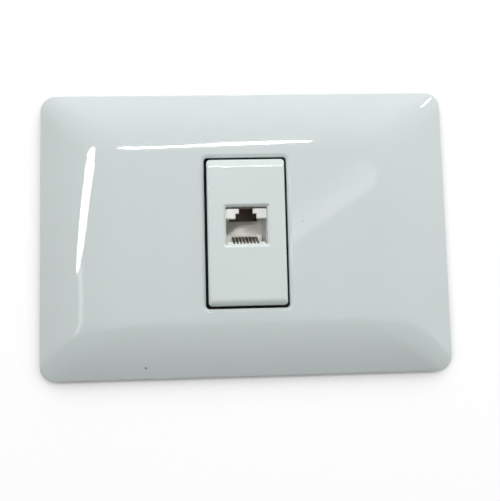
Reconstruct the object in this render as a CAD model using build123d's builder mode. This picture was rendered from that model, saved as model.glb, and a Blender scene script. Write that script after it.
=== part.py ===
from build123d import *
from math import radians, tan
import os

os.makedirs("parts", exist_ok=True)

# Ethernet wall socket: one upright module in the middle of a wide cover plate. All sizes in millimetres.
# X runs to the right and Z up, as the socket hangs. The wall is the plane y = 0 and the front faces -Y.

# Cover plate
plate_width = 122.0
plate_height = 84.5
plate_corner = 4.5
plate_rim = 2.8
plate_crown = 7.0
plate_wall = 2.0
border_run_x = 22.0
border_run_z = 18.4
border_power = 2.0
border_steps = 3
crown_corner = 8.0
rim_round = 0.6
window_lip = 0.9
window_lip_depth = 0.5
plate_rib = 1.0
plate_rib_inset = 12.5
plate_rib_z = 9.0
rib_foot_gap = 0.6
rib_end_gap = 1.0
root_depth = 0.4
pick_reach = 0.01

# Module face and the opening for the plug
module_width = 23.0
module_height = 42.9
module_corner = 1.1
module_proud = 1.3
window_gap = 0.8
face_wall = 2.3
top_bevel_rise = 2.0
top_bevel_depth = 0.7
bottom_roll_rise = 2.1
bottom_roll_depth = 1.4
face_side_bevel = 0.45
opening_z = 2.0
opening_gap = 0.15
opening_bevel = 0.75
opening_corner = 0.3

# Module body behind the face
body_side_step = 0.25
body_end_step = 1.2
body_wall = 1.2
tooth_width = 7.6
tooth_bite = 0.9
tooth_length = 3.4
tooth_gap = 0.05
tongue_slit = 0.8
tongue_length = 10.0
guide_rib = 1.2
board_ledge_width = 12.0
board_ledge_depth = 3.0
board_ledge_bite = 0.9

# Mounting frame
frame_slack = 0.15
frame_inset_x = 8.0
frame_inset_z = 6.25
frame_corner = 6.0
frame_flange = 1.6
frame_rise = 3.2
frame_reach = 2.6
seat_bar = 1.6
ring_wall = 1.6
ring_gap_z = 4.0
ring_gap_x = 0.75
frame_notch = 0.8
frame_rib = 1.2
frame_rib_z = 14.0
frame_rib_drop = 0.6
bead_width = 1.2
bead_rise = 1.2
bead_end = 8.0
box_slot_width = 4.1
box_slot_length = 8.0
box_slot_inset = 11.25
catch_inset = 13.0
catch_width = 7.0
catch_proud = 0.55
catch_length = 0.9
hook_width = 6.0
hook_wall = 1.2
hook_barb = 0.6
hook_gap = 0.2
barb_gap = 0.05
hook_tip = 1.0

# Plug socket
cavity_width = 11.9
cavity_height = 7.35
cavity_foot_gap = 0.1
keyway_wide = 6.2
keyway_wide_rise = 1.5
keyway_narrow = 4.1
keyway_narrow_rise = 1.55
keyway_wall = 1.2
shade_slot = 0.4
pocket_width = 9.4
pocket_rise = 0.7
cavity_depth = 14.3
socket_depth = 17.0
socket_side_wall = 1.5
socket_roof = 1.3
socket_floor_wall = 1.5
socket_lip = 0.8
socket_rear_wall = 1.5
socket_edge_break = 0.22
lug_share = 1 / 3
lug_length = 2.4
lug_gap = 0.05
peg_radius = 0.6
peg_x = 6.4

# Contact wires and the insert that they bend round
contact_count = 8
contact_pitch = 1.016
contact_width = 0.5
contact_thickness = 0.35
contact_bend = 0.65
contact_rise_angle = 20.0
hump_bend = 0.8
hump_back = 7.4
tip_rise = 0.2
tip_reach = 0.6
tail_row_step = 2.2
tail_bend = 0.4
tail_stick_out = 0.7
insert_slack = 0.1
insert_side_gap = 0.3
insert_slot_gap = 0.06
insert_nose_gap = 0.95
insert_channel = 2.0
fence_rise = 0.5
fence_length = 2.2
comb_rise = 2.9
comb_back = 11.2
comb_slot = 0.9

# Circuit board
board_side_gap = 0.15
board_end_gap = 1.0
board_thickness = 1.6
board_corner = 0.8
hole_slack = 0.15

# Wire terminals
terminal_end_gap = 5.7
terminal_side_room = 2.15
terminal_height = 5.2
terminal_depth = 9.4
terminal_count = 4
wire_slot = 1.3
wire_slot_depth = 5.5
tower_bevel = 0.9
blade_width = 3.0
blade_thickness = 0.6
blade_slit = 0.35
blade_setback = 1.2
blade_mouth_rise = 1.0
blade_tail_width = 0.8
blade_tail_out = 0.8
blade_slack = 0.15
cap_wall = 0.6
cap_slack = 0.1
cap_roof = 1.4
cap_skirt = 3.6
cap_break = 0.3
cap_slot = 1.7

# Rear retainer
retainer_thickness = 1.6
retainer_slack = 0.1
retainer_window_slack = 0.3
retainer_lug_length = 4.6
retainer_lug_proud = 0.75
retainer_lug_z = 11.0
retainer_lug_depth = 0.8

# Places along Y, counted from the wall
crown_y = -plate_crown
face_y = crown_y - module_proud
socket_front_y = face_y + face_wall
socket_rear_y = socket_front_y + socket_depth
cavity_rear_y = socket_front_y + cavity_depth
board_rear_y = socket_rear_y + board_thickness
terminal_rear_y = board_rear_y + terminal_depth
body_rear_y = board_rear_y + retainer_thickness
seat_front_y = -frame_rise
seat_rear_y = frame_reach

core_crown = plate_crown - plate_wall

# Opening and places along Z of the plug socket
opening_width = cavity_width + 2 * opening_gap
opening_height = cavity_foot_gap + cavity_height + keyway_wide_rise + keyway_narrow_rise + shade_slot
opening_top_z = opening_z + opening_height / 2
keyway_top_z = opening_top_z - shade_slot
keyway_step_z = keyway_top_z - keyway_narrow_rise
cavity_top_z = keyway_step_z - keyway_wide_rise
cavity_floor_z = cavity_top_z - cavity_height
pocket_top_z = opening_top_z + pocket_rise
insert_foot_z = cavity_floor_z - insert_channel
socket_foot_z = insert_foot_z - socket_floor_wall
socket_head_z = pocket_top_z + socket_roof
socket_width = cavity_width + 2 * socket_side_wall
insert_width = cavity_width - 2 * insert_side_gap
insert_slot = contact_width + 2 * insert_slot_gap
insert_rear_y = cavity_rear_y + socket_rear_wall

# Sizes that meet their neighbours
window_width = module_width + 2 * window_gap
window_height = module_height + 2 * window_gap
body_half_x = module_width / 2 - body_side_step
body_half_z = module_height / 2 - body_end_step
body_inner_x = body_half_x - body_wall
body_inner_z = body_half_z - body_wall
lug_proud = lug_share * (body_inner_x - socket_width / 2)
seat_inner_x = body_half_x + frame_slack
seat_inner_z = body_half_z + frame_slack
seat_outer_x = module_width / 2 + seat_bar
seat_outer_z = module_height / 2 + seat_bar
notch_z = seat_inner_z + frame_notch
frame_width = plate_width - 2 * frame_inset_x
frame_height = plate_height - 2 * frame_inset_z
box_screw_spacing = frame_width - 2 * box_slot_inset
ring_half_x = (box_screw_spacing - box_slot_length) / 2 - ring_gap_x
ring_half_z = seat_inner_z + ring_gap_z
catch_x = ring_half_x - catch_inset
hook_inner_z = ring_half_z + catch_proud + hook_gap
hook_window_z = hook_inner_z + hook_wall + hook_gap
bead_length = frame_width - 2 * bead_end
bead_z = (hook_window_z + frame_height / 2) / 2
plate_rib_x = plate_width / 2 - plate_rib_inset
board_width = 2 * (body_inner_x - board_side_gap)
board_height = 2 * (body_inner_z - board_end_gap)
tail_hole = contact_width / 2 + hole_slack
terminal_z = body_inner_z - terminal_end_gap
terminal_width = 2 * (body_inner_x - terminal_side_room)
terminal_pitch = terminal_width / terminal_count


def facing_room(y):
    """Plane parallel to the wall at the place y, with its normal towards the room."""
    return Plane.XZ.offset(-y)


def block(x, y, z, mode=Mode.ADD):
    """Box between a low and a high place along each axis."""
    with Locations(((x[0] + x[1]) / 2, (y[0] + y[1]) / 2, (z[0] + z[1]) / 2)):
        return Box(x[1] - x[0], y[1] - y[0], z[1] - z[0], mode=mode)


def finish(piece, name):
    """Label a finished piece and write it to its own file."""
    piece.part.label = name
    export_step(piece.part, f"parts/{name}.step")


def pillow(inset, rim, crown, ruled):
    """Pillow form: a straight rim, then a border that rises ever flatter to the crown, banded if ruled."""
    with BuildPart() as form:
        with BuildSketch(Plane.XZ):
            RectangleRounded(plate_width - 2 * inset, plate_height - 2 * inset, plate_corner - inset)
        extrude(amount=rim)
        for step in range(border_steps + 1):
            share = step / border_steps
            rise = rim + (crown - rim) * (1 - (1 - share) ** border_power)
            with BuildSketch(Plane.XZ.offset(rise)):
                RectangleRounded(
                    plate_width - 2 * (inset + (border_run_x - inset) * share),
                    plate_height - 2 * (inset + (border_run_z - inset) * share),
                    plate_corner - inset + (crown_corner - plate_corner) * share,
                )
        loft(ruled=ruled)
    return form.part


# The core is the space under the plate. Grooves left in it become the plate's stiffening ribs.
with BuildPart() as plate_core:
    add(pillow(plate_wall, plate_rim - plate_wall / 2, core_crown, ruled=True))
    for side in (-1, 1):
        rib_x = side * plate_rib_x
        block(
            (rib_x - plate_rib / 2, rib_x + plate_rib / 2),
            (-plate_crown, -frame_flange - rib_foot_gap),
            (-bead_z, bead_z),
            mode=Mode.SUBTRACT,
        )
        for level in (-plate_rib_z, plate_rib_z):
            reach = sorted((side * (window_width / 2 + rib_end_gap), side * plate_rib_x))
            block(
                reach,
                (-plate_crown, seat_front_y - rib_foot_gap),
                (level - plate_rib / 2, level + plate_rib / 2),
                mode=Mode.SUBTRACT,
            )

# Cover plate: a moulded pillow-shaped shell, hollow behind, with a bevelled window for one module.
barb_front_y = seat_front_y + catch_length + barb_gap
with BuildPart() as cover_plate:
    add(pillow(0.0, plate_rim, plate_crown, ruled=False))
    edges = cover_plate.edges()
    fillet(edges.filter_by_position(Axis.Y, -plate_rim - pick_reach, -plate_rim + pick_reach), rim_round)
    add(plate_core.part, mode=Mode.SUBTRACT)
    # Window for the module, with a bevelled lip
    with BuildSketch(Plane.XZ):
        RectangleRounded(window_width, window_height, module_corner)
    extrude(amount=plate_crown, mode=Mode.SUBTRACT)
    with BuildSketch(facing_room(crown_y + window_lip_depth)):
        RectangleRounded(window_width, window_height, module_corner)
    with BuildSketch(facing_room(crown_y - window_lip_depth)):
        RectangleRounded(
            window_width + 4 * window_lip,
            window_height + 4 * window_lip,
            module_corner + 2 * window_lip,
        )
    loft(mode=Mode.SUBTRACT)
    # Snap hooks that grip the frame's catches
    for side in (-1, 1):
        with BuildSketch(Plane.YZ.offset(side * catch_x - hook_width / 2)):
            with BuildLine():
                Polyline(
                    (-core_crown - root_depth, hook_inner_z),
                    (-core_crown - root_depth, hook_inner_z + hook_wall),
                    (-hook_tip, hook_inner_z + hook_wall),
                    (-hook_tip, hook_inner_z),
                    (-hook_tip - hook_barb, hook_inner_z - hook_barb),
                    (barb_front_y, hook_inner_z - hook_barb),
                    (barb_front_y, hook_inner_z),
                    close=True,
                )
            make_face()
            mirror(about=Plane.XZ)
        extrude(amount=hook_width)
finish(cover_plate, "cover_plate")

# Mounting frame: the moulded support that is screwed to the wall box and holds the module.
with BuildPart() as mounting_frame:
    with BuildSketch(Plane.XZ):
        RectangleRounded(frame_width, frame_height, frame_corner)
    extrude(amount=frame_flange)
    # Raised wall that the plate hooks on to, and the deeper seat round the module
    with BuildSketch(Plane.XZ):
        RectangleRounded(2 * ring_half_x, 2 * ring_half_z, module_corner + ring_wall)
        RectangleRounded(
            2 * (ring_half_x - ring_wall),
            2 * (ring_half_z - ring_wall),
            module_corner,
            mode=Mode.SUBTRACT,
        )
    extrude(amount=frame_rise)
    with BuildSketch(facing_room(seat_rear_y)):
        RectangleRounded(2 * seat_outer_x, 2 * seat_outer_z, module_corner)
    extrude(amount=frame_reach + frame_rise)
    # Ribs from the seat to the raised wall, and beads that stiffen the flange
    with BuildSketch(Plane.XZ):
        with GridLocations(0, 2 * frame_rib_z, 1, 2):
            Rectangle(2 * ring_half_x - ring_wall, frame_rib)
        with GridLocations(seat_inner_x + seat_outer_x, 0, 2, 1):
            Rectangle(frame_rib, 2 * ring_half_z - ring_wall)
    extrude(amount=frame_rise - frame_rib_drop)
    with BuildSketch(facing_room(-frame_flange)):
        with GridLocations(0, 2 * bead_z, 1, 2):
            SlotOverall(bead_length, bead_width)
    extrude(amount=bead_rise)
    # Catches on the raised wall for the plate's hooks, with windows in the flange beside them
    for side in (-1, 1):
        for end in (-1, 1):
            block(
                (side * catch_x - catch_width / 2, side * catch_x + catch_width / 2),
                (seat_front_y, seat_front_y + catch_length),
                sorted((end * (ring_half_z - root_depth), end * (ring_half_z + catch_proud))),
            )
            block(
                (side * catch_x - hook_width / 2 - hook_gap, side * catch_x + hook_width / 2 + hook_gap),
                (-frame_flange, 0),
                sorted((end * ring_half_z, end * hook_window_z)),
                mode=Mode.SUBTRACT,
            )
    # Opening for the module, with a notch at each end that places it sideways
    with BuildSketch(facing_room(seat_rear_y)):
        Rectangle(2 * seat_inner_x, 2 * seat_inner_z)
        Rectangle(tooth_width + 2 * frame_slack, 2 * notch_z)
    extrude(amount=frame_reach + frame_rise, mode=Mode.SUBTRACT)
    # Slots for the two screws of the wall box
    with BuildSketch(Plane.XZ):
        with GridLocations(box_screw_spacing, 0, 2, 1):
            SlotOverall(box_slot_length, box_slot_width)
    extrude(amount=frame_flange, mode=Mode.SUBTRACT)
finish(mounting_frame, "mounting_frame")

# Module housing: face, plug opening and open-backed body moulded as one piece.
tooth_top_z = notch_z + tooth_bite
tooth_front_y = seat_rear_y + tooth_gap
tongue_front_y = tooth_front_y - tongue_length / 3
seat_z = board_height / 2 - board_ledge_bite
with BuildPart() as module_housing:
    with BuildSketch(facing_room(seat_front_y)):
        RectangleRounded(module_width, module_height, module_corner)
    extrude(amount=seat_front_y - face_y)
    # Slanted band along the top of the face, and a band that rolls away along the bottom
    with BuildSketch(Plane.YZ.offset(-module_width)):
        with BuildLine():
            Polyline(
                (face_y, module_height / 2 - top_bevel_rise),
                (face_y + top_bevel_depth, module_height / 2),
                (face_y - top_bevel_depth, module_height / 2),
                close=True,
            )
        make_face()
        with BuildLine():
            TangentArc(
                (face_y, -module_height / 2 + bottom_roll_rise),
                (face_y + bottom_roll_depth, -module_height / 2),
                tangent=(0, -1),
            )
            Polyline(
                (face_y + bottom_roll_depth, -module_height / 2),
                (face_y - bottom_roll_depth, -module_height / 2),
                (face_y - bottom_roll_depth, -module_height / 2 + bottom_roll_rise),
                (face_y, -module_height / 2 + bottom_roll_rise),
            )
        make_face()
    extrude(amount=2 * module_width, mode=Mode.SUBTRACT)
    # Narrow bevels down both sides of the face
    with BuildSketch(Plane.XY.offset(-module_height)):
        with BuildLine():
            Polyline(
                (module_width / 2 - face_side_bevel, face_y),
                (module_width / 2, face_y + face_side_bevel),
                (module_width / 2, face_y - face_side_bevel),
                close=True,
            )
        make_face()
        mirror(about=Plane.YZ)
    extrude(amount=2 * module_height, mode=Mode.SUBTRACT)
    # Body behind the face
    with BuildSketch(facing_room(body_rear_y)):
        RectangleRounded(2 * body_half_x, 2 * body_half_z, module_corner / 2)
    extrude(amount=body_rear_y - seat_front_y)
    # Keys that sit in the notches of the seat, and the snap teeth behind it
    with BuildSketch(Plane.YZ.offset(-tooth_width / 2)):
        with BuildLine():
            Polyline(
                (seat_front_y, body_half_z - root_depth),
                (seat_front_y, notch_z - frame_slack),
                (tooth_front_y, notch_z - frame_slack),
                (tooth_front_y, tooth_top_z),
                (tooth_front_y + frame_slack, tooth_top_z),
                (tooth_front_y + tooth_length, body_half_z),
                (tooth_front_y + tooth_length, body_half_z - root_depth),
                close=True,
            )
        make_face()
        mirror(about=Plane.XZ)
    extrude(amount=tooth_width)
    # Hollow, open at the back
    with BuildSketch(facing_room(body_rear_y)):
        Rectangle(2 * body_inner_x, 2 * body_inner_z)
    extrude(amount=body_rear_y - socket_front_y, mode=Mode.SUBTRACT)
    # Slits beside the teeth that free a springy tongue
    for side in (-1, 1):
        slit_x = side * (tooth_width + tongue_slit) / 2
        block(
            (slit_x - tongue_slit / 2, slit_x + tongue_slit / 2),
            (tongue_front_y, tongue_front_y + tongue_length),
            (-module_height, module_height),
            mode=Mode.SUBTRACT,
        )
    # Guide ribs beside the plug socket
    for side in (-1, 1):
        for level in (socket_foot_z + guide_rib, socket_head_z - guide_rib):
            block(
                sorted((side * (socket_width / 2 + lug_gap), side * (body_inner_x + root_depth))),
                (socket_front_y, socket_front_y + cavity_depth - guide_rib),
                (level - guide_rib / 2, level + guide_rib / 2),
            )
    # Ledges that the circuit board sits on
    for end in (-1, 1):
        block(
            (-board_ledge_width / 2, board_ledge_width / 2),
            (socket_rear_y - board_ledge_depth, socket_rear_y),
            sorted((end * seat_z, end * (body_inner_z + root_depth))),
        )
    # Windows for the retainer's lugs
    for end in (-1, 1):
        block(
            (-module_width, module_width),
            (board_rear_y + retainer_slack, board_rear_y + retainer_lug_depth + 3 * retainer_slack),
            sorted(
                (
                    end * (retainer_lug_z - retainer_lug_length / 2 - retainer_slack),
                    end * (retainer_lug_z + retainer_lug_length / 2 + retainer_slack),
                )
            ),
            mode=Mode.SUBTRACT,
        )
    # Opening for the plug, with a bevel all round
    with BuildSketch(facing_room(socket_front_y)):
        with Locations((0, opening_z)):
            RectangleRounded(opening_width, opening_height, opening_corner)
    extrude(amount=face_wall, mode=Mode.SUBTRACT)
    with BuildSketch(facing_room(face_y + opening_bevel)):
        with Locations((0, opening_z)):
            RectangleRounded(opening_width, opening_height, opening_corner)
    with BuildSketch(facing_room(face_y - opening_bevel)):
        with Locations((0, opening_z)):
            RectangleRounded(
                opening_width + 4 * opening_bevel,
                opening_height + 4 * opening_bevel,
                opening_corner + opening_bevel,
            )
    loft(mode=Mode.SUBTRACT)
finish(module_housing, "module_housing")

# Plug socket: the stepped cavity that takes the plug, with the keyway for its latch at the top.
lug_front_y = socket_front_y + cavity_depth - guide_rib + lug_gap
with BuildPart() as jack_housing:
    with BuildSketch(facing_room(socket_rear_y)):
        with Locations((0, (socket_foot_z + socket_head_z) / 2)):
            Rectangle(socket_width, socket_head_z - socket_foot_z)
    extrude(amount=socket_depth)
    # Cavity for the plug, and the stepped keyway through the front wall above it
    with BuildSketch(facing_room(cavity_rear_y)):
        with Locations((0, (cavity_floor_z + cavity_top_z) / 2)):
            Rectangle(cavity_width, cavity_height)
    extrude(amount=cavity_depth, mode=Mode.SUBTRACT)
    with BuildSketch(facing_room(socket_front_y + keyway_wall)):
        with BuildLine():
            Polyline(
                (-keyway_wide / 2, cavity_top_z),
                (-keyway_wide / 2, keyway_step_z),
                (-keyway_narrow / 2, keyway_step_z),
                (-keyway_narrow / 2, keyway_top_z),
                (keyway_narrow / 2, keyway_top_z),
                (keyway_narrow / 2, keyway_step_z),
                (keyway_wide / 2, keyway_step_z),
                (keyway_wide / 2, cavity_top_z),
                close=True,
            )
        make_face()
    extrude(amount=keyway_wall, mode=Mode.SUBTRACT)
    mouth = jack_housing.faces().sort_by(Axis.Y)[0]
    chamfer(mouth.inner_wires().edges(), socket_edge_break)
    # Pocket behind the keyway, where the latch springs up. It is open to the circuit board.
    block(
        (-pocket_width / 2, pocket_width / 2),
        (socket_front_y + keyway_wall, socket_rear_y),
        (cavity_top_z, pocket_top_z),
        mode=Mode.SUBTRACT,
    )
    # Slot that leaves a thin dark line between the front wall and the module's opening
    block(
        (-opening_width / 2, opening_width / 2),
        (socket_front_y, socket_front_y + keyway_wall),
        (keyway_top_z, pocket_top_z),
        mode=Mode.SUBTRACT,
    )
    # Channel under the cavity and opening behind it, for the contact insert
    block(
        (-cavity_width / 2 + insert_slack, cavity_width / 2 - insert_slack),
        (socket_front_y + socket_lip, socket_rear_y),
        (insert_foot_z, cavity_floor_z),
        mode=Mode.SUBTRACT,
    )
    block(
        (-cavity_width / 2 + insert_slack, cavity_width / 2 - insert_slack),
        (cavity_rear_y, socket_rear_y),
        (insert_foot_z, cavity_floor_z + comb_rise + insert_slack),
        mode=Mode.SUBTRACT,
    )
    block(
        (-cavity_width / 2 + insert_slack, cavity_width / 2 - insert_slack),
        (insert_rear_y - insert_slack, socket_rear_y),
        (socket_foot_z, insert_foot_z),
        mode=Mode.SUBTRACT,
    )
    # Side lugs that stop behind the module's guide ribs
    for side in (-1, 1):
        block(
            sorted((side * socket_width / 2, side * (socket_width / 2 + lug_proud))),
            (lug_front_y, lug_front_y + lug_length),
            (socket_foot_z, socket_head_z),
        )
    # Pegs that place the circuit board
    with BuildSketch(facing_room(socket_rear_y)):
        with Locations((-peg_x, socket_head_z - socket_roof), (peg_x, socket_head_z - socket_roof)):
            Circle(peg_radius)
    extrude(amount=-(board_thickness - insert_slack))
finish(jack_housing, "jack_housing")

# Contact insert: a slotted nose that the wires bend round, a low fence between them and a rear comb.
run_z = insert_foot_z + insert_slack + contact_width + contact_thickness / 2
slab_foot_z = run_z + contact_thickness / 2
bend_centre_z = run_z + contact_bend
slab_head_z = bend_centre_z + contact_bend - contact_thickness / 2
nose_y = socket_front_y + socket_lip + insert_nose_gap + contact_thickness / 2
insert_front_y = socket_front_y + socket_lip + insert_slack
comb_front_y = socket_front_y + comb_back
comb_top_z = cavity_floor_z + comb_rise
fence_top_z = cavity_floor_z + fence_rise
contact_places = [contact_pitch * (number - (contact_count - 1) / 2) for number in range(contact_count)]
with BuildPart() as contact_carrier:
    with BuildSketch(Plane.YZ.offset(-insert_width / 2)):
        with BuildLine():
            Polyline(
                (insert_front_y, insert_foot_z),
                (insert_front_y, fence_top_z),
                (insert_front_y + fence_length, fence_top_z),
                (insert_front_y + fence_length, slab_head_z),
                (comb_front_y, slab_head_z),
                (comb_front_y, comb_top_z),
                (insert_rear_y, comb_top_z),
                (insert_rear_y, insert_foot_z),
                close=True,
            )
        make_face()
    extrude(amount=insert_width)
    for place in contact_places:
        # Groove under the slab and round the nose
        with BuildSketch(Plane.YZ.offset(place - insert_slot / 2)):
            with BuildLine():
                Polyline(
                    (insert_front_y, insert_foot_z),
                    (insert_rear_y, insert_foot_z),
                    (insert_rear_y, slab_foot_z),
                    (nose_y, slab_foot_z),
                )
                ThreePointArc(
                    (nose_y, slab_foot_z),
                    (nose_y - (slab_head_z - slab_foot_z) / 2, bend_centre_z),
                    (nose_y, slab_head_z),
                )
                Polyline(
                    (nose_y, slab_head_z),
                    (insert_front_y + fence_length, slab_head_z),
                    (insert_front_y + fence_length, comb_top_z),
                    (insert_front_y, comb_top_z),
                    (insert_front_y, insert_foot_z),
                )
            make_face()
        extrude(amount=insert_slot, mode=Mode.SUBTRACT)
        # Slot of the rear comb
        block(
            (place - insert_slot / 2, place + insert_slot / 2),
            (comb_front_y, comb_front_y + comb_slot),
            (slab_head_z, comb_top_z),
            mode=Mode.SUBTRACT,
        )
finish(contact_carrier, "contact_carrier")

# Contact wires: each runs under the insert, bends back round its nose and rises in the cavity. Its tip rests
# in the comb, and its tail goes through the circuit board.
rise_slope = tan(radians(contact_rise_angle))
turn_y = nose_y - contact_bend / tan(radians(contact_rise_angle / 2))
hump_y = socket_front_y + hump_back
hump_z = run_z + (hump_y - turn_y) * rise_slope
tip_y = comb_front_y + tip_reach
tip_z = hump_z + tip_rise
tail_y = board_rear_y + tail_stick_out
drop_y = (insert_rear_y + socket_rear_y) / 2
for number, place in enumerate(contact_places, start=1):
    route = [(turn_y, run_z), (hump_y, hump_z), (tip_y, tip_z)]
    bends = [contact_bend, hump_bend]
    if number % 2:
        route = [(tail_y, run_z)] + route
    else:
        route = [(tail_y, run_z - tail_row_step), (drop_y, run_z - tail_row_step), (drop_y, run_z)] + route
        bends = [tail_bend, tail_bend] + bends
    with BuildPart() as contact:
        with BuildLine(Plane.YZ.offset(place)) as wire:
            FilletPolyline(*route, radius=bends)
        with BuildSketch(Plane(origin=wire.line @ 0, x_dir=(1, 0, 0), z_dir=wire.line % 0)):
            Rectangle(contact_width, contact_thickness)
        sweep()
    finish(contact, f"contact_{number}")

# Circuit board: carries the contact tails in two staggered rows and the eight terminal blades.
blade_places = [terminal_pitch * (number - (terminal_count - 1) / 2) for number in range(terminal_count)]
with BuildPart() as circuit_board:
    with BuildSketch(facing_room(board_rear_y)):
        RectangleRounded(board_width, board_height, board_corner)
        for number, place in enumerate(contact_places, start=1):
            row_z = run_z if number % 2 else run_z - tail_row_step
            with Locations((place, row_z)):
                Circle(tail_hole, mode=Mode.SUBTRACT)
        for end in (-1, 1):
            for place in blade_places:
                with Locations((place, end * terminal_z)):
                    Circle(blade_tail_width / 2 + hole_slack, mode=Mode.SUBTRACT)
        with Locations((-peg_x, socket_head_z - socket_roof), (peg_x, socket_head_z - socket_roof)):
            Circle(peg_radius + hole_slack, mode=Mode.SUBTRACT)
    extrude(amount=board_thickness)
finish(circuit_board, "circuit_board")

# Terminal blocks, blades and wire caps: one set of four above the middle of the board and one below.
blade_rear_y = terminal_rear_y - blade_setback
blade_slit_y = terminal_rear_y - wire_slot_depth
for end, which in ((1, "upper"), (-1, "lower")):
    middle_z = end * terminal_z
    with BuildPart() as idc_block:
        with BuildSketch(facing_room(terminal_rear_y)):
            with Locations((0, middle_z)):
                Rectangle(terminal_width, terminal_height)
        extrude(amount=terminal_depth)
        # Slots for the cores, which leave a row of pointed towers
        with BuildSketch(Plane.XY.offset(middle_z - terminal_height / 2)):
            for place in blade_places:
                with BuildLine():
                    Polyline(
                        (place - wire_slot / 2, terminal_rear_y - wire_slot_depth),
                        (place - wire_slot / 2, terminal_rear_y - tower_bevel),
                        (place - wire_slot / 2 - tower_bevel / 2, terminal_rear_y),
                        (place + wire_slot / 2 + tower_bevel / 2, terminal_rear_y),
                        (place + wire_slot / 2, terminal_rear_y - tower_bevel),
                        (place + wire_slot / 2, terminal_rear_y - wire_slot_depth),
                        close=True,
                    )
                make_face()
        extrude(amount=terminal_height, mode=Mode.SUBTRACT)
        # Pockets for the blades
        with BuildSketch(facing_room(blade_rear_y + blade_slack)):
            for place in blade_places:
                with Locations((place, middle_z)):
                    Rectangle(blade_width + 2 * blade_slack, blade_thickness + 2 * blade_slack)
        extrude(amount=terminal_depth, mode=Mode.SUBTRACT)
    finish(idc_block, f"idc_block_{which}")

    for number, place in enumerate(blade_places, start=1):
        with BuildPart() as blade:
            with BuildSketch(Plane.XY.offset(middle_z - blade_thickness / 2)):
                with BuildLine():
                    Polyline(
                        (place - blade_tail_width / 2, socket_rear_y - blade_tail_out),
                        (place - blade_tail_width / 2, board_rear_y),
                        (place - blade_width / 2, board_rear_y),
                        (place - blade_width / 2, blade_rear_y - blade_mouth_rise),
                        (place - blade_width / 4, blade_rear_y),
                        (place - blade_slit / 2, blade_rear_y - blade_mouth_rise),
                        (place - blade_slit / 2, blade_slit_y),
                        (place + blade_slit / 2, blade_slit_y),
                        (place + blade_slit / 2, blade_rear_y - blade_mouth_rise),
                        (place + blade_width / 4, blade_rear_y),
                        (place + blade_width / 2, blade_rear_y - blade_mouth_rise),
                        (place + blade_width / 2, board_rear_y),
                        (place + blade_tail_width / 2, board_rear_y),
                        (place + blade_tail_width / 2, socket_rear_y - blade_tail_out),
                        close=True,
                    )
                make_face()
            extrude(amount=blade_thickness)
        finish(blade, f"idc_blade_{which}_{number}")

    with BuildPart() as wire_cap:
        cap_skirt_y = terminal_rear_y - cap_skirt
        with BuildSketch(facing_room(terminal_rear_y + cap_roof)):
            with Locations((0, middle_z)):
                RectangleRounded(
                    terminal_width + 2 * (cap_slack + cap_wall),
                    terminal_height + 2 * (cap_slack + cap_wall),
                    cap_wall,
                )
        extrude(amount=cap_roof + cap_skirt)
        chamfer(wire_cap.faces().sort_by(Axis.Y)[-1].edges(), cap_break)
        with BuildSketch(facing_room(terminal_rear_y)):
            with Locations((0, middle_z)):
                Rectangle(terminal_width + 2 * cap_slack, terminal_height + 2 * cap_slack)
        extrude(amount=cap_skirt, mode=Mode.SUBTRACT)
        # Slots in the skirt for the cores
        for place in blade_places:
            block(
                (place - cap_slot / 2, place + cap_slot / 2),
                (cap_skirt_y, terminal_rear_y - cap_slot / 2),
                (middle_z - terminal_height, middle_z + terminal_height),
                mode=Mode.SUBTRACT,
            )
    finish(wire_cap, f"wire_cap_{which}")

# Rear retainer: a ring that snaps into the module body and presses the board against its ledges.
retainer_half_x = body_inner_x - retainer_slack
retainer_half_z = body_inner_z - retainer_slack
lug_low_y = board_rear_y + 2 * retainer_slack
with BuildPart() as rear_retainer:
    with BuildSketch(facing_room(body_rear_y)):
        Rectangle(2 * retainer_half_x, 2 * retainer_half_z)
        Rectangle(
            terminal_width + 2 * (cap_slack + cap_wall + retainer_window_slack),
            2 * (terminal_z + terminal_height / 2 + cap_slack + cap_wall + retainer_window_slack),
            mode=Mode.SUBTRACT,
        )
    extrude(amount=retainer_thickness)
    # Lugs that catch in the windows of the body
    with BuildSketch(Plane.XY.offset(retainer_lug_z - retainer_lug_length / 2)) as lug_section:
        with BuildLine():
            Polyline(
                (retainer_half_x, lug_low_y),
                (retainer_half_x + retainer_lug_proud, lug_low_y + retainer_lug_depth / 2),
                (retainer_half_x + retainer_lug_proud, lug_low_y + retainer_lug_depth),
                (retainer_half_x, lug_low_y + retainer_lug_depth),
                close=True,
            )
        make_face()
        mirror(about=Plane.YZ)
    extrude(amount=retainer_lug_length)
    with BuildSketch(Plane.XY.offset(-retainer_lug_z - retainer_lug_length / 2)):
        add(lug_section.sketch)
    extrude(amount=retainer_lug_length)
finish(rear_retainer, "rear_retainer")
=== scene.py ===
import math

import bpy
import numpy as np
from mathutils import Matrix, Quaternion, Vector


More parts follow.
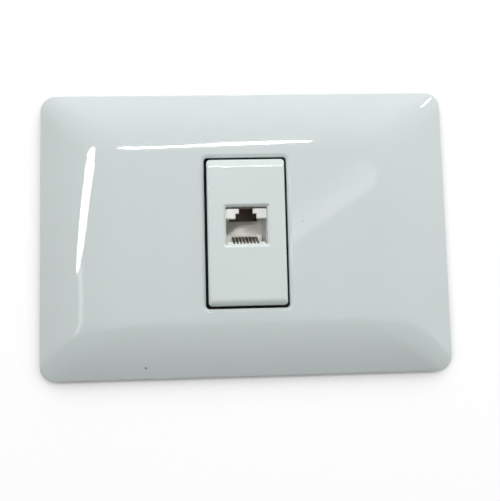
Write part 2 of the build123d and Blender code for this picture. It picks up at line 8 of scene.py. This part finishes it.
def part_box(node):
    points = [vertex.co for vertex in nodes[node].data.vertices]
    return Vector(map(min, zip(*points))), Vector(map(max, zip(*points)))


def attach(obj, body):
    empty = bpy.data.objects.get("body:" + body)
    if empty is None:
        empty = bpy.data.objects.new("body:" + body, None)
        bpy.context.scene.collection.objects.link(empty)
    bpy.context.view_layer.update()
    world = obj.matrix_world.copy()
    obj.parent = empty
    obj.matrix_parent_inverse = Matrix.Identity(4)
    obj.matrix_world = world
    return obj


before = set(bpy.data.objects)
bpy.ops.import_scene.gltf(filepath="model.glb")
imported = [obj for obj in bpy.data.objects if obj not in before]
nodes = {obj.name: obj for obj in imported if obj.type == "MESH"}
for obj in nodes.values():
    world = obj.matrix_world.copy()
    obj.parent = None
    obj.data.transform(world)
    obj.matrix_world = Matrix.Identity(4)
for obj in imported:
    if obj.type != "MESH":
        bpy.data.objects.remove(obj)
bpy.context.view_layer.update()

# Cover plate
# One pillow-shaped shell, injection moulded in a glossy cool-white plastic. It snaps over the
# frame, so no screw shows. Its skin copies the polished mould, with faint flow marks.
mm = 0.001
plate_colour = (0.648, 0.712, 0.703)
# Each fleck of dirt has a place and a radius in mm, and a strength
flecks = (
    ((-30.1, -4.2, -38.8), 0.42, 0.95),
    ((16.9, -7.0, 3.0), 0.4, 0.25),
    ((50.5, -5.8, 4.9), 0.4, 0.15),
)
dirt_colour = (0.16, 0.16, 0.15)
float_socket, vector_socket = "NodeSocketFloat", "NodeSocketVector"


def node_group(name, inputs, outputs):
    """Empty shader node group with inputs and outputs by title and kind, and its two end nodes."""
    group = bpy.data.node_groups.new(name, "ShaderNodeTree")
    for way, sockets in (("INPUT", inputs), ("OUTPUT", outputs)):
        for title, kind in sockets.items():
            group.interface.new_socket(title, in_out=way, socket_type=kind)
    return group, group.nodes.new("NodeGroupInput"), group.nodes.new("NodeGroupOutput")


def put(tree, kind, links=(), group=None, **values):
    """New node in a tree. Values fill its inputs by name, and links join outputs to its inputs."""
    node = tree.nodes.new(kind)
    if group:
        node.node_tree = group
    for title, value in values.items():
        node.inputs[title.replace("_", " ")].default_value = value
    for source, title in links:
        tree.links.new(source, node.inputs[title])
    return node


def maths(tree, operation, *operands):
    """Result of a Math node whose operands are links or numbers."""
    node = tree.nodes.new("ShaderNodeMath")
    node.operation = operation
    for socket, operand in zip(node.inputs, operands):
        if isinstance(operand, (int, float)):
            socket.default_value = operand
        else:
            tree.links.new(operand, socket)
    return node.outputs[0]


def blend_colour(tree, factor, first, second):
    """Colour between the first and the second, which are links or plain colours, by a factor link."""
    node = tree.nodes.new("ShaderNodeMix")
    node.data_type = "RGBA"
    factor_socket, first_socket, second_socket, result_socket = 0, 6, 7, 2
    tree.links.new(factor, node.inputs[factor_socket])
    for place, value in ((first_socket, first), (second_socket, second)):
        if isinstance(value, tuple):
            node.inputs[place].default_value = (*value, 1)
        else:
            tree.links.new(value, node.inputs[place])
    return node.outputs[result_socket]


def ramp(tree, value, start, full, top=1.0):
    """Number that is 0 up to where the value reaches start, and climbs to the top at full."""
    node = put(tree, "ShaderNodeMapRange", [(value, "Value")], From_Min=start, From_Max=full, To_Max=top)
    return node.outputs[0]


# Flow marks and scuffs are scaled in marks per metre, and the scuffs are drawn out along a turned axis
flow_scale, flow_detail = 70.0, 3.0
grain_detail = 2.0
scuff_turn, scuff_scale, scuff_detail = (0, 0.6, 0), (60, 60, 2600), 2.0
scuff_start, scuff_full = 0.62, 0.72


def make_skin_group():
    """Group for a moulded skin: slow flow marks, a fine grain, and thin scuffs that run one way."""
    group, start, end = node_group(
        "moulded skin",
        {"Place": vector_socket, "Grain Size": float_socket},
        {"Clouds": float_socket, "Grain": float_socket, "Scuffs": float_socket},
    )
    place = start.outputs["Place"]
    clouds = put(group, "ShaderNodeTexNoise", [(place, "Vector")], Scale=flow_scale, Detail=flow_detail)
    grain_scale = maths(group, "DIVIDE", 1 / mm, start.outputs["Grain Size"])
    grain_links = [(place, "Vector"), (grain_scale, "Scale")]
    grain = put(group, "ShaderNodeTexNoise", grain_links, Detail=grain_detail)
    drawn_out = put(group, "ShaderNodeMapping", [(place, "Vector")], Rotation=scuff_turn, Scale=scuff_scale)
    scratch_links = [(drawn_out.outputs[0], "Vector")]
    scratch = put(group, "ShaderNodeTexNoise", scratch_links, Scale=1.0, Detail=scuff_detail)
    scuffs = ramp(group, scratch.outputs[0], scuff_start, scuff_full)
    group.links.new(clouds.outputs[0], end.inputs["Clouds"])
    group.links.new(grain.outputs[0], end.inputs["Grain"])
    group.links.new(scuffs, end.inputs["Scuffs"])
    return group


# An edge begins and is full at these cosines between its rounded and its true normal
edge_begins, edge_full = 0.99, 0.85
edge_samples = 16


def make_edge_group():
    """Group for a soft edge: a normal rounded over a radius in mm, and a mask of edges and corners."""
    group, start, end = node_group(
        "soft edge", {"Radius": float_socket}, {"Normal": vector_socket, "Edge": float_socket}
    )
    radius = maths(group, "MULTIPLY", start.outputs["Radius"], mm)
    bevel = put(group, "ShaderNodeBevel", [(radius, "Radius")])
    bevel.samples = edge_samples
    true_normal = group.nodes.new("ShaderNodeNewGeometry").outputs["True Normal"]
    facing = group.nodes.new("ShaderNodeVectorMath")
    facing.operation = "DOT_PRODUCT"
    group.links.new(bevel.outputs[0], facing.inputs[0])
    group.links.new(true_normal, facing.inputs[1])
    edge = ramp(group, facing.outputs["Value"], edge_begins, edge_full)
    group.links.new(bevel.outputs[0], end.inputs["Normal"])
    group.links.new(edge, end.inputs["Edge"])
    return group


# The recess mask begins and is full at these shares of open space over a point
recess_begins, recess_full = 0.75, 0.15
recess_samples = 4


def make_recess_group():
    """Group for a recess mask: 1 where other surfaces close in on a point within a reach in mm, 0 in the
    open.
    """
    group, start, end = node_group("recess mask", {"Reach": float_socket}, {"Recess": float_socket})
    reach = maths(group, "MULTIPLY", start.outputs["Reach"], mm)
    openness = put(group, "ShaderNodeAmbientOcclusion", [(reach, "Distance")])
    openness.samples = recess_samples
    dust_and_shade = ramp(group, openness.outputs["AO"], recess_begins, recess_full)
    group.links.new(dust_and_shade, end.inputs["Recess"])
    return group


skin_group = make_skin_group()
edge_group = make_edge_group()
recess_group = make_recess_group()


def shader_of(material):
    """The Principled shader of a material."""
    return material.node_tree.nodes["Principled BSDF"]


def new_material(name):
    """Material with a Principled shader, and the point's place on the object."""
    material = bpy.data.materials.new(name)
    material.use_nodes = True
    tree = material.node_tree
    place = tree.nodes.new("ShaderNodeTexCoord").outputs["Object"]
    return material, tree, shader_of(material), place


def add_bump(tree, shader, height, strength, depth, links=()):
    """Bump of a height link, with its depth in mm, as the shader's normal."""
    bump = put(
        tree, "ShaderNodeBump", [(height, "Height"), *links], Strength=strength, Distance=depth * mm
    )
    tree.links.new(bump.outputs[0], shader.inputs["Normal"])


def shaded(colour, share):
    """Colour times a share, or times one share for each channel."""
    return tuple(np.multiply(colour, share).tolist())


# Colours of flow marks, worn edges, and dust with painted shade in recesses, as shares of the plastic's own
# colour
flow_share = 0.96
edge_share, edge_wear = 1.06, 0.35
dust_and_shade_share, dust_and_shade_reach = (0.468, 0.4365, 0.387), 1.2
# The clouds spread the roughness between 88% and 113% of its plain value
least_rough, cloud_rough = 0.88, 0.25
grain_strength = 0.5


def moulded(name, colour, rough, grain_size, grain_depth, edge_radius=0.15, dust_and_shade=0.25, scuffs=0.05):
    """Moulded plastic, with its sizes in mm.

    Flow marks cloud its colour and its gloss, edges are soft and a little paler, recesses darken
    as dust and as painted shade, and scuffs add to its roughness.
    """
    material, tree, shader, place = new_material(name)
    skin = put(tree, "ShaderNodeGroup", [(place, "Place")], skin_group, Grain_Size=grain_size).outputs
    edge = put(tree, "ShaderNodeGroup", (), edge_group, Radius=edge_radius).outputs
    recess = put(tree, "ShaderNodeGroup", (), recess_group, Reach=dust_and_shade_reach).outputs
    tint = blend_colour(tree, skin["Clouds"], colour, shaded(colour, flow_share))
    wear = maths(tree, "MULTIPLY", edge["Edge"], edge_wear)
    worn = blend_colour(tree, wear, tint, shaded(colour, edge_share))
    # Painted shade: the colour darkens towards a dusty brown where other surfaces stand close, as dust and
    # as the shade that falls there
    dust_and_shade_mask = maths(tree, "MULTIPLY", recess["Recess"], dust_and_shade)
    dusty_and_shaded = blend_colour(tree, dust_and_shade_mask, worn, shaded(colour, dust_and_shade_share))
    tree.links.new(dusty_and_shaded, shader.inputs["Base Color"])
    dull = maths(tree, "MULTIPLY_ADD", skin["Clouds"], cloud_rough * rough, least_rough * rough)
    tree.links.new(maths(tree, "MULTIPLY_ADD", skin["Scuffs"], scuffs, dull), shader.inputs["Roughness"])
    add_bump(tree, shader, skin["Grain"], grain_strength, grain_depth, [(edge["Normal"], "Normal")])
    return material


def add_flecks(material):
    """Flecks painted over a material's colour, each at full strength to half its radius and then fading."""
    tree = material.node_tree
    shader = shader_of(material)
    place = tree.nodes.new("ShaderNodeTexCoord").outputs["Object"]
    colour = shader.inputs["Base Color"].links[0].from_socket
    for fleck_place, fleck_radius, strength in flecks:
        apart = tree.nodes.new("ShaderNodeVectorMath")
        apart.operation = "DISTANCE"
        apart.inputs[1].default_value = Vector(fleck_place) * mm
        tree.links.new(place, apart.inputs[0])
        fleck = ramp(tree, apart.outputs["Value"], fleck_radius * mm, fleck_radius * mm / 2, strength)
        colour = blend_colour(tree, fleck, colour, dirt_colour)
    tree.links.new(colour, shader.inputs["Base Color"])


def dress(material, *names):
    """Give CAD nodes their finish."""
    for name in names:
        nodes[name].data.materials.clear()
        nodes[name].data.materials.append(material)


plate_skin = moulded(
    "plate plastic",
    plate_colour,
    rough=0.04,
    grain_size=1.6,
    grain_depth=0.0015,
    edge_radius=0.7,
    dust_and_shade=0.1,
    scuffs=0.02,
)
add_flecks(plate_skin)
dress(plate_skin, "cover_plate")

# Module housing
# The upright insert in the middle: face, plug opening and open-backed body in one moulding. Its
# white is a shade brighter than the plate's and a little less glossy. A ring behind holds the board.
module_colour = (0.685, 0.755, 0.738)
module_skin = moulded(
    "module plastic",
    module_colour,
    rough=0.12,
    grain_size=0.8,
    grain_depth=0.003,
    edge_radius=0.5,
    scuffs=0.03,
)
dress(module_skin, "module_housing", "rear_retainer")

# Plug socket and contact insert
# The stepped cavity behind the opening and the slotted insert under it are moulded in a stiffer,
# glass-filled plastic: off-white, matt, and slightly yellow beside the face.
socket_colour = (0.84, 0.84, 0.81)
socket_skin = moulded(
    "socket plastic", socket_colour, rough=0.42, grain_size=0.25, grain_depth=0.006, dust_and_shade=0.08
)
dress(socket_skin, "jack_housing", "contact_carrier")

# Contact wires
# Eight spring wires of phosphor bronze with a thin gold plating. They run under the insert, bend
# round its nose and rise in the cavity. The plating is darker where no plug rubs it clean, and its
# gold is given darker than bright gold, which paints in part of the shade the wires lie in.
contact_count = 8
plating_recess = 1.6
open_tarnish = 0.1
plating_mottle = 0.3
plating_strength, plating_depth = 0.4, 0.003


def plated(name, colour, tarnish, rough, grain_size):
    """Plated metal, with its grain in mm: a mottled gloss, and tarnish in clouds and in recesses."""
    material, tree, shader, place = new_material(name)
    skin = put(tree, "ShaderNodeGroup", [(place, "Place")], skin_group, Grain_Size=grain_size).outputs
    recess = put(tree, "ShaderNodeGroup", (), recess_group, Reach=plating_recess).outputs
    clouded = maths(tree, "ADD", skin["Clouds"], 1.0)
    old = maths(tree, "MULTIPLY", maths(tree, "ADD", recess["Recess"], open_tarnish), clouded)
    tree.links.new(blend_colour(tree, old, colour, tarnish), shader.inputs["Base Color"])
    shader.inputs["Metallic"].default_value = 1.0
    mottled = maths(tree, "MULTIPLY_ADD", skin["Grain"], plating_mottle, rough)
    tree.links.new(mottled, shader.inputs["Roughness"])
    add_bump(tree, shader, skin["Grain"], plating_strength, plating_depth)
    return material


# The dark gold colour is partly painted shade, for the dark look the wires have in their slots
gold = plated("contact gold", (0.50, 0.38, 0.20), (0.03, 0.022, 0.013), rough=0.1, grain_size=0.12)
dress(gold, *[f"contact_{number}" for number in range(1, contact_count + 1)])

# Mounting frame
# The black support that two screws hold to the wall box. It shows only as the dark line round the
# module, and from behind.
frame_colour = (0.012, 0.012, 0.012)
frame_specular = 0.25
frame_skin = moulded(
    "frame plastic", frame_colour, rough=0.7, grain_size=0.2, grain_depth=0.012, dust_and_shade=0.1
)
shader_of(frame_skin).inputs["Specular IOR Level"].default_value = frame_specular
dress(frame_skin, "mounting_frame")

# Circuit board
# A paper-core laminate board, brown under a clear lacquer. It joins the contact tails to the wire
# terminals, and shows as the dark ground behind the keyway.
thread_size, weave_share = 0.625, 0.12
lacquer_grain = 0.15
lacquer_rough, lacquer_mottle = 0.22, 0.2
lacquer_strength, lacquer_depth = 0.3, 0.004


def make_weave_group():
    """Group for a weave: a checker of threads of a size in mm, 1 on every second square."""
    weave_inputs = {"Place": vector_socket, "Thread Size": float_socket}
    group, start, end = node_group("laminate weave", weave_inputs, {"Weave": float_socket})
    scale = maths(group, "DIVIDE", 1 / mm, start.outputs["Thread Size"])
    checker_links = [(start.outputs["Place"], "Vector"), (scale, "Scale")]
    checker = put(group, "ShaderNodeTexChecker", checker_links)
    group.links.new(checker.outputs["Fac"], end.inputs["Weave"])
    return group


weave_group = make_weave_group()


def lacquered(name, pale, deep, thread):
    """Surface under clear lacquer: clouds from pale to deep, with a faint weave of the thread's colour."""
    material, tree, shader, place = new_material(name)
    skin = put(tree, "ShaderNodeGroup", [(place, "Place")], skin_group, Grain_Size=lacquer_grain).outputs
    weave = put(tree, "ShaderNodeGroup", [(place, "Place")], weave_group, Thread_Size=thread_size).outputs
    cloudy = blend_colour(tree, skin["Clouds"], pale, deep)
    woven = blend_colour(tree, maths(tree, "MULTIPLY", weave["Weave"], weave_share), cloudy, thread)
    tree.links.new(woven, shader.inputs["Base Color"])
    mottled = maths(tree, "MULTIPLY_ADD", skin["Grain"], lacquer_mottle, lacquer_rough)
    tree.links.new(mottled, shader.inputs["Roughness"])
    add_bump(tree, shader, skin["Grain"], lacquer_strength, lacquer_depth)
    return material


board_skin = lacquered("board laminate", (0.15, 0.09, 0.052), (0.12, 0.072, 0.042), (0.2, 0.125, 0.07))
dress(board_skin, "circuit_board")

# Copper tracks
# Eight tracks, etched from thin copper foil, lie under the lacquer on the board's rear. Each leads
# from a contact tail to a terminal blade, the odd ones upwards and the even ones downwards.
track_width, track_thickness = 0.55 * mm, 0.035 * mm
track_bed = 0.01 * mm
upper_bend_z, lower_bend_z = 0.5 * mm, -7.6 * mm
wire_half_thickness = 0.175 * mm
board_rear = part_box("circuit_board")[1][1]


def box_middle(name):
    """Middle of a CAD node's box."""
    return np.mean(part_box(name), axis=0)


def at_depth(flat, depth):
    """Points (x, depth, z) from flat points (x, z) and their depths."""
    return np.stack((flat[..., 0], np.broadcast_to(depth, flat.shape[:-1]), flat[..., 1]), axis=-1)


def ring_quads(rings):
    """Index of the points of rows of closed rings, and the quads that join each ring to the next."""
    bodies, levels, around = rings.shape[:3]
    index = np.arange(bodies * levels * around).reshape(bodies, levels, around)
    after = np.roll(index, -1, axis=2)
    quads = np.stack((index[:, :-1], after[:, :-1], after[:, 1:], index[:, 1:]), axis=-1)
    return index, quads.reshape(-1, 4).tolist()


def new_piece(name, points, faces, material):
    """Object at the origin with its points in its mesh."""
    mesh = bpy.data.meshes.new(name)
    mesh.from_pydata(points.reshape(-1, 3).tolist(), [], faces)
    mesh.materials.append(material)
    piece = bpy.data.objects.new(name, mesh)
    bpy.context.scene.collection.objects.link(piece)
    return piece


def ringed_piece(name, rings, material):
    """Piece of closed bodies, each a row of rings joined by quads, with a face at each end."""
    index, sides = ring_quads(rings)
    ends = np.concatenate((index[:, 0, ::-1], index[:, -1])).tolist()
    piece = new_piece(name, rings, sides + ends, material)
    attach(piece, "root")
    return piece


def strip_rings(paths):
    """Rings of flat strips along paths of (x, z) points.

    At each point the side vector is the sum of the side vectors of the runs before and behind it, over 1
    plus their dot product, so that the strip keeps its width where its path bends. The ring's corners
    stand half the width to each side, two of them in the board and two on the foil.
    """
    runs = np.diff(paths, axis=1)
    runs /= np.linalg.norm(runs, axis=-1, keepdims=True)
    sides = np.stack((runs[..., 1], -runs[..., 0]), axis=-1)
    before = np.concatenate((sides[:, :1], sides), axis=1)
    behind = np.concatenate((sides, sides[:, -1:]), axis=1)
    mitre = (before + behind) / (1 + np.sum(before * behind, axis=-1, keepdims=True))
    across = np.array([1, 1, -1, -1])[:, None] * track_width / 2
    levels = np.array([-track_bed, track_thickness, track_thickness, -track_bed])
    return at_depth(paths[:, :, None] + mitre[:, :, None] * across, board_rear + levels)


# Each track runs straight from its tail, slants at 45 degrees, and runs straight again to its blade
tails, tracks = [], []
for number in range(1, contact_count + 1):
    level, bend_z, way = ("upper", upper_bend_z, 1) if number % 2 else ("lower", lower_bend_z, -1)
    blade_x, _, blade_z = box_middle(f"idc_blade_{level}_{(number + 1) // 2}")
    tail_x = box_middle(f"contact_{number}")[0]
    tail_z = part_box(f"contact_{number}")[0][2] + wire_half_thickness
    slant_end_z = bend_z + way * abs(blade_x - tail_x)
    tails.append((tail_x, tail_z))
    tracks.append(((tail_x, tail_z), (tail_x, bend_z), (blade_x, slant_end_z), (blade_x, blade_z)))
copper = lacquered("lacquered copper", (0.36, 0.205, 0.1), (0.29, 0.165, 0.085), (0.4, 0.24, 0.13))
ringed_piece("copper_tracks", strip_rings(np.array(tracks)), copper)

# Solder joints
# Each contact tail is soldered to a round tinned pad at its track's end. The solder runs up the
# wire in a hollow cone, and no two joints took quite the same amount.
pad_radius, pad_thickness = 0.85 * mm, 0.04 * mm
solder_radius, solder_tip, solder_height = 0.74 * mm, 0.31 * mm, 0.52 * mm
solder_spread, solder_step = 0.08, 2.3
cone_rings, joint_points = 12, 32


def joint_rings(places):
    """Rings of the solder joints round tails at (x, z) places: two for the pad, and those of the cone.

    The cone's radius falls from its foot to its tip with the square of what is left of its height. Its foot
    and height grow with the joint's amount of solder, which is 1 plus a small sine of the joint's number.
    """
    count = len(places)
    amount = 1 + solder_spread * np.sin(solder_step * np.arange(count))[:, None]
    climb = np.linspace(0, 1, cone_rings)
    cone = solder_tip + (solder_radius * amount - solder_tip) * (1 - climb) ** 2
    radius = np.hstack((np.full((count, 2), pad_radius), cone))
    pad_levels = np.tile((-track_bed, pad_thickness), (count, 1))
    level = np.hstack((pad_levels, pad_thickness + solder_height * amount * climb))
    turn = np.linspace(0, 2 * math.pi, joint_points, endpoint=False)
    circle = np.column_stack((np.sin(turn), np.cos(turn)))
    flat = places[:, None, None] + radius[..., None, None] * circle
    return at_depth(flat, board_rear + level[..., None])


solder = plated("solder", (0.66, 0.65, 0.62), (0.3, 0.29, 0.27), rough=0.2, grain_size=0.2)
ringed_piece("solder_joints", joint_rings(np.array(tails)), solder).data.shade_smooth()

# Wire terminals
# Two blocks of pale grey plastic hold the forked blades of tinned bronze that cut into the cores.
# A milky cap presses the cores home and keeps dust out.
block_colour, cap_colour = (0.62, 0.62, 0.60), (0.78, 0.80, 0.78)
block_skin = moulded("terminal plastic", block_colour, rough=0.4, grain_size=0.25, grain_depth=0.006)
cap_skin = moulded("cap plastic", cap_colour, rough=0.34, grain_size=0.4, grain_depth=0.005)
tin = plated("blade tin", (0.62, 0.61, 0.58), (0.35, 0.34, 0.32), rough=0.25, grain_size=0.1)
blade_count = 4
for level in ("upper", "lower"):
    dress(block_skin, f"idc_block_{level}")
    dress(cap_skin, f"wire_cap_{level}")
    dress(tin, *[f"idc_blade_{level}_{number}" for number in range(1, blade_count + 1)])

# Wall and floor
# A plain white wall with the box's hole behind the frame, and a plain floor below. The camera sees
# the wall as white, apart from its real shadow and a painted shadow near the object's edges, and
# sees through it from behind.
hole_x, hole_z, hole_corner = 60 * mm, 41.2 * mm, 4 * mm
corner_points = 8
# The wall lies a hair behind the plate's rim, and is this many times as wide and high as its hole
wall_y, wall_reach = 0.1 * mm, 20
floor_half, floor_z = 5.6, -1.2
paint_tone, camera_tone = (0.8, 0.8, 0.8), (0.36, 0.36, 0.36)
wall_glow = 0.69
# The painted shadow at an edge is felt for around a direction that leans up from straight out of the wall
painted_shadow_out, painted_shadow_up = -0.92, 0.35
painted_shadow_reach, painted_shadow_samples = 12 * mm, 8
painted_shadow_full, painted_shadow_ends = 0.25, 0.87


def seen_directly(tree, in_gloss):
    """1 for rays from the camera, through glass and, if in_gloss is 1, off gloss, and 0 for the others."""
    ray = tree.nodes.new("ShaderNodeLightPath").outputs
    mirrored = maths(tree, "MULTIPLY", ray["Is Glossy Ray"], in_gloss)
    seen = maths(tree, "MAXIMUM", ray["Is Camera Ray"], mirrored)
    return maths(tree, "MAXIMUM", seen, ray["Is Transmission Ray"])


def pale_surface(name, see_through_back, in_gloss):
    """Pale matt paint, shown white to rays that see it directly, apart from a painted shadow at an edge
    that dims its glow.
    """
    material = bpy.data.materials.new(name)
    material.use_nodes = True
    tree = material.node_tree
    tree.nodes.clear()
    to_camera = tree.nodes.new("ShaderNodeLightPath").outputs["Is Camera Ray"]
    tone = blend_colour(tree, to_camera, paint_tone, camera_tone)
    matt = put(tree, "ShaderNodeBsdfDiffuse", [(tone, "Color")])
    lean = put(tree, "ShaderNodeCombineXYZ", Y=painted_shadow_out, Z=painted_shadow_up)
    openness = put(tree, "ShaderNodeAmbientOcclusion", [(lean.outputs[0], "Normal")], Distance=painted_shadow_reach)
    openness.samples = painted_shadow_samples
    # Painted shadow: the glow is dimmed where the object stands within reach, more below it than above it
    outside_painted_shadow = ramp(tree, openness.outputs["AO"], painted_shadow_full, painted_shadow_ends)
    shown = maths(tree, "MULTIPLY", seen_directly(tree, in_gloss), wall_glow)
    glow = put(tree, "ShaderNodeEmission", [(maths(tree, "MULTIPLY", shown, outside_painted_shadow), "Strength")])
    both = tree.nodes.new("ShaderNodeAddShader")
    tree.links.new(matt.outputs[0], both.inputs[0])
    tree.links.new(glow.outputs[0], both.inputs[1])
    last = both.outputs[0]
    if see_through_back:
        clear = tree.nodes.new("ShaderNodeBsdfTransparent")
        choice = tree.nodes.new("ShaderNodeMixShader")
        tree.links.new(tree.nodes.new("ShaderNodeNewGeometry").outputs["Backfacing"], choice.inputs[0])
        tree.links.new(last, choice.inputs[1])
        tree.links.new(clear.outputs[0], choice.inputs[2])
        last = choice.outputs[0]
    tree.links.new(last, tree.nodes.new("ShaderNodeOutputMaterial").inputs["Surface"])
    return material


def rounded_outline(half_x, half_z, corner):
    """Points (x, z) of a rounded rectangle, anticlockwise seen from the room.

    Each is a corner's centre plus the corner radius times the cosine and sine of its angle.
    """
    quarters = np.arange(4)[:, None] * math.pi / 2
    angle = (quarters + np.linspace(0, math.pi / 2, corner_points)).ravel()
    side = np.repeat([(1, 1), (-1, 1), (-1, -1), (1, -1)], corner_points, axis=0)
    centre = side * (half_x - corner, half_z - corner)
    return centre + corner * np.column_stack((np.cos(angle), np.sin(angle)))


hole = rounded_outline(hole_x, hole_z, hole_corner)
wall_rings = at_depth(np.stack((wall_reach * hole, hole))[None], wall_y)
wall = new_piece("wall", wall_rings, ring_quads(wall_rings)[1], pale_surface("wall paint", True, 1))
floor_corners = np.array([(-1, -1, 0), (1, -1, 0), (1, 1, 0), (-1, 1, 0)]) * floor_half + (0, 0, floor_z)
floor = new_piece("floor", floor_corners, [(0, 1, 2, 3)], pale_surface("floor paint", False, 0))

# Light
# Two broad soft lights from above and the right, and a faint panel and six narrow lamps that the
# glossy plate mirrors as its streaks, the last of them mirrored only. A soft fill stands behind.
lamp_distance = 0.6
panel_fade_end, panel_fade_full = 0.95, 0.25
room_level = 0.03


def lamp(name, direction, size, radiance, turn=0.0, shape="RECTANGLE", distance=lamp_distance):
    """Flat lamp that faces the plate, with its width and height in metres.

    Its direction, seen from the plate, is an azimuth to the right and an elevation in degrees.
    """
    azimuth, elevation = np.radians(direction).tolist()
    towards = Vector(
        (
            math.sin(azimuth) * math.cos(elevation),
            -math.cos(azimuth) * math.cos(elevation),
            math.sin(elevation),
        )
    )
    light = bpy.data.lights.new(name, "AREA")
    light.shape = shape
    width, height = size
    light.size, light.size_y = width, height
    light.energy = radiance * math.pi * width * height
    body = bpy.data.objects.new(name, light)
    body.location = towards * distance
    body.rotation_mode = "QUATERNION"
    body.rotation_quaternion = towards.to_track_quat("Z", "Y") @ Quaternion((0, 0, 1), math.radians(turn))
    bpy.context.scene.collection.objects.link(body)
    return body


lamp("overhead", (0, 80), (0.75, 0.35), 2.6).visible_glossy = False
lamp("right side", (60, 15), (0.45, 0.6), 1.4).visible_glossy = False
panel = lamp("right panel", (13.2, 6.1), (0.13, 0.042), 1.7, turn=33)
lamp("top tube", (0.15, 18.2), (0.242, 0.016), 94.0, turn=13, shape="ELLIPSE")
lamp("top tube middle", (4.6, 19.3), (0.13, 0.024), 60.0, turn=13, shape="ELLIPSE")
lamp("left tube", (-27.4, 7.3), (0.042, 0.235), 22.0, turn=-38, shape="ELLIPSE")
lamp("corner spot", (45.8, 31.8), (0.055, 0.024), 30.0, turn=36)
lamp("back fill", (160, 30), (0.6, 0.6), 4.0, distance=0.7)
lamp("left tube end", (-31.5, -6.5), (0.03, 0.12), 2.4)
lamp("left rim", (-80, 0), (0.1, 0.35), 4.0).visible_diffuse = False

# The panel's light fades out towards one of its sides
panel.data.use_nodes = True
panel_tree = panel.data.node_tree
on_panel = panel_tree.nodes.new("ShaderNodeNewGeometry").outputs["Parametric"]
across_panel = put(panel_tree, "ShaderNodeSeparateXYZ", [(on_panel, "Vector")]).outputs["Y"]
panel_fade = ramp(panel_tree, across_panel, panel_fade_end, panel_fade_full)
panel_tree.links.new(panel_fade, panel_tree.nodes["Emission"].inputs["Strength"])

# The room is white to the camera and the gloss, and lights the object only faintly
world = bpy.data.worlds.new("room")
world.use_nodes = True
bpy.context.scene.world = world
background = world.node_tree.nodes["Background"]
background.inputs["Color"].default_value = (1, 1, 1, 1)
room_light = maths(world.node_tree, "MAXIMUM", seen_directly(world.node_tree, 1), room_level)
world.node_tree.links.new(room_light, background.inputs["Strength"])

# Camera
# It stands a little to the left of the socket, 21 cm from the wall, and looks slightly up and right.
# Its place in mm, its turns in degrees and its shift were fitted to the plate and the module.
eye_place = (-15.27, -212.32, -8.70)
eye_turns = (95.489, 1.238, -2.678)
camera = bpy.data.cameras.new("camera")
camera.sensor_width = 36
camera.lens = 50.3
camera.shift_x = 0.0439
camera.shift_y = -0.1108
camera.clip_start = 0.005
camera.clip_end = 20
eye = bpy.data.objects.new("camera", camera)
eye.location = [mm * part for part in eye_place]
eye.rotation_euler = [math.radians(part) for part in eye_turns]
bpy.context.scene.collection.objects.link(eye)
bpy.context.scene.camera = eye
bpy.context.scene.view_settings.view_transform = "Standard"
